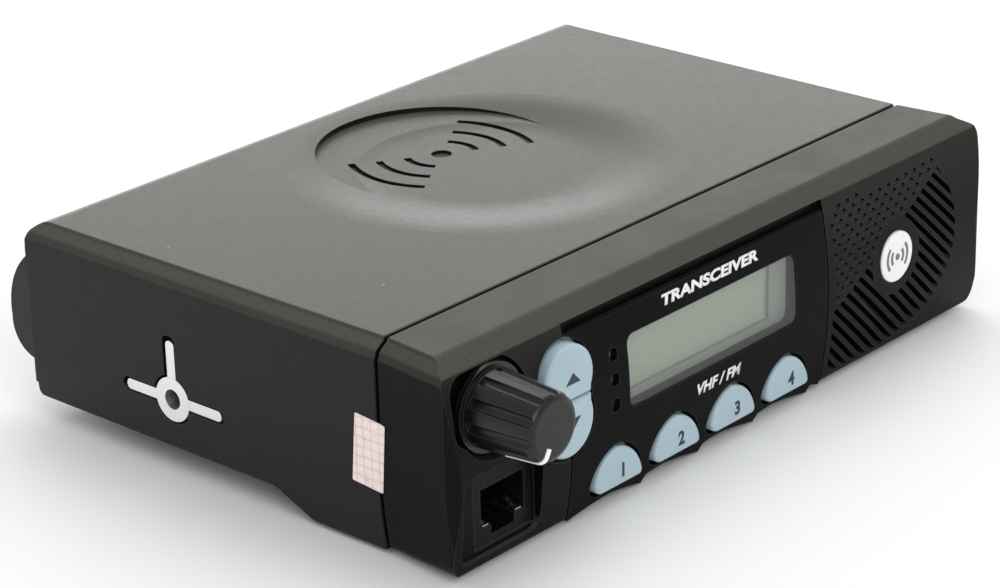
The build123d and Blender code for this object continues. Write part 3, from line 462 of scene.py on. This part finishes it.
def thicken(mesh, thickness):
    """Give flat artwork in the XY plane a real thickness."""
    work = bmesh.new()
    work.from_mesh(mesh)
    bmesh.ops.remove_doubles(work, verts=work.verts, dist=1e-7)
    result = bmesh.ops.extrude_face_region(work, geom=list(work.faces))
    top = [item for item in result["geom"] if isinstance(item, bmesh.types.BMVert)]
    bmesh.ops.translate(work, verts=top, vec=(0, 0, thickness))
    bmesh.ops.recalc_face_normals(work, faces=work.faces)
    work.to_mesh(mesh)
    work.free()
    return mesh


def flat_mesh(loops, thickness):
    """Mesh of closed outlines in the XY plane."""
    verts, faces = [], []
    for loop in loops:
        faces.append(tuple(range(len(verts), len(verts) + len(loop))))
        verts.extend((x, y, 0.0) for x, y in loop)
    mesh = bpy.data.meshes.new("artwork")
    mesh.from_pydata(verts, [], faces)
    return thicken(mesh, thickness)


def arc_band(radius, width, middle_deg, half_deg, steps=18):
    angles = [radians(middle_deg - half_deg + 2 * half_deg * i / steps) for i in range(steps + 1)]
    outer = [((radius + width / 2) * cos(a), (radius + width / 2) * sin(a)) for a in angles]
    inner = [((radius - width / 2) * cos(a), (radius - width / 2) * sin(a)) for a in reversed(angles)]
    return outer + inner


def add_text(name, text, x, z, height, width, body, material, matrix=None, slant=0.0, weight=0.0):
    mesh = text_mesh(text, height, width, INK_THICKNESS, slant, weight)
    mesh.transform(matrix or face_matrix(x, z, PROUD))
    return add_piece(name, mesh, material, body)


def add_marks():
    white_ink = print_ink("white_ink", (0.86, 0.87, 0.85))
    dark_ink = print_ink("dark_ink", (0.018, 0.032, 0.045))
    grey_ink = print_ink("grey_ink", (0.16, 0.17, 0.17))
    add_text("mark_device_text", "TRANSCEIVER", DEVICE_TEXT_X, DEVICE_TEXT_Z, 2.3 * MM, 30.0 * MM, "root",
             white_ink, slant=0.18, weight=0.045)
    add_text("mark_band_text", "VHF / FM", BAND_TEXT_X, BAND_TEXT_Z, 2.5 * MM, 14.0 * MM, "root",
             white_ink, slant=0.2, weight=0.035)
    upright = Matrix.Rotation(pi / 2, 4, "X")
    for index in range(1, 5):
        low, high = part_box(f"key_{index}")
        x = (low.x + high.x) / 2 + NUMERAL_SHIFT
        flat = Matrix.Translation((x, low.y - PROUD, NUMERAL_Z)) @ upright
        add_text(f"mark_numeral_{index}", str(index), x, NUMERAL_Z, 3.0 * MM, None, f"key_{index}",
                 dark_ink, flat, weight=0.035)
    triangle = [(-2.1 * MM, -1.0 * MM), (2.1 * MM, -1.0 * MM), (0.0, 1.2 * MM)]
    for name, turn, z in ARROWS:
        mesh = flat_mesh([triangle], INK_THICKNESS)
        place = Matrix.Translation((ARROW_X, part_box(name)[0].y - PROUD, z))
        mesh.transform(place @ upright @ Matrix.Rotation(turn, 4, "Z"))
        add_piece(f"mark_{name}_arrow", mesh, dark_ink, name)
    angles = [2 * pi * i / 24 for i in range(24)]
    dot = [(WAVE_DOT_R * MM * cos(a), WAVE_DOT_R * MM * sin(a)) for a in angles]
    loops = [dot]
    for radius in WAVE_RADII:
        for middle in (0.0, 180.0):
            loops.append(arc_band(radius * MM, WAVE_WIDTH * MM, middle, 42.0))
    emblem = flat_mesh(loops, INK_THICKNESS)
    centre = (BADGE_LOW + BADGE_HIGH) / 2
    emblem.transform(Matrix.Translation((centre.x, BADGE_LOW.y - PROUD, centre.z)) @ upright)
    add_piece("mark_badge_waves", emblem, grey_ink, "root")


# ---- Stage, light and camera -----------------------------------------------------------
def add_stage():
    mesh = bpy.data.meshes.new("floor")
    work = bmesh.new()
    bmesh.ops.create_grid(work, x_segments=8, y_segments=8, size=8.0)
    work.to_mesh(mesh)
    work.free()
    floor = bpy.data.objects.new("floor", mesh)
    floor.location.z = CAD_BOX[0][2] - 0.02 * MM
    shader = Shader("floor_paper", (0.94, 0.94, 0.94), 0.9, Specular_IOR_Level=0.1)
    mesh.materials.append(shader.material)
    bpy.context.scene.collection.objects.link(floor)


# Name, place, aim, size in metres and power in watts.
SOFTBOXES = (
    ("top_softbox", (0.6, 0.4, 1.45), (0, 0, 0), (1.2, 1.2), 9),
    ("low_softbox", (1.1, 0.98, 0.30), (0, 0, 0.03), (1.8, 0.50), 8.5),
    ("fill_softbox", (-0.6, -1.1, 0.75), (0, 0, 0), (0.7, 0.7), 5),
)
CAMERA_PLACE = (-0.45121, -0.39704, 0.26804)
CAMERA_RIGHT = Vector((0.66099, -0.75002, -0.0237))
CAMERA_UP = Vector((0.30397, 0.23875, 0.92228))
CAMERA_BACK = Vector((-0.68607, -0.61683, 0.3858))


def add_area(name, place, target, size, power):
    data = bpy.data.lights.new(name, "AREA")
    data.shape = "RECTANGLE"
    data.size, data.size_y = size
    data.energy = power
    light = bpy.data.objects.new(name, data)
    light.location = place
    light.rotation_euler = (Vector(target) - Vector(place)).to_track_quat("-Z", "Y").to_euler()
    bpy.context.scene.collection.objects.link(light)


def add_lights():
    world = bpy.data.worlds.new("studio")
    bpy.context.scene.world = world
    world.use_nodes = True
    background = world.node_tree.nodes["Background"]
    background.inputs["Color"].default_value = (1.0, 1.0, 1.0, 1.0)
    background.inputs["Strength"].default_value = 0.72
    for softbox in SOFTBOXES:
        add_area(*softbox)


def add_camera():
    """Long lens, three quarters from the front left, a little above."""
    data = bpy.data.cameras.new("camera")
    data.sensor_width = 36.0
    data.lens = 113.0
    data.clip_start = 0.01
    camera = bpy.data.objects.new("camera", data)
    turn = Matrix((CAMERA_RIGHT, CAMERA_UP, CAMERA_BACK)).transposed()
    camera.matrix_world = Matrix.Translation(CAMERA_PLACE) @ turn.to_4x4()
    bpy.context.scene.collection.objects.link(camera)
    bpy.context.scene.camera = camera


add_camera()
dress_cad_nodes()
add_marks()
add_stage()
add_lights()
bpy.context.scene.view_settings.view_transform = "Standard"
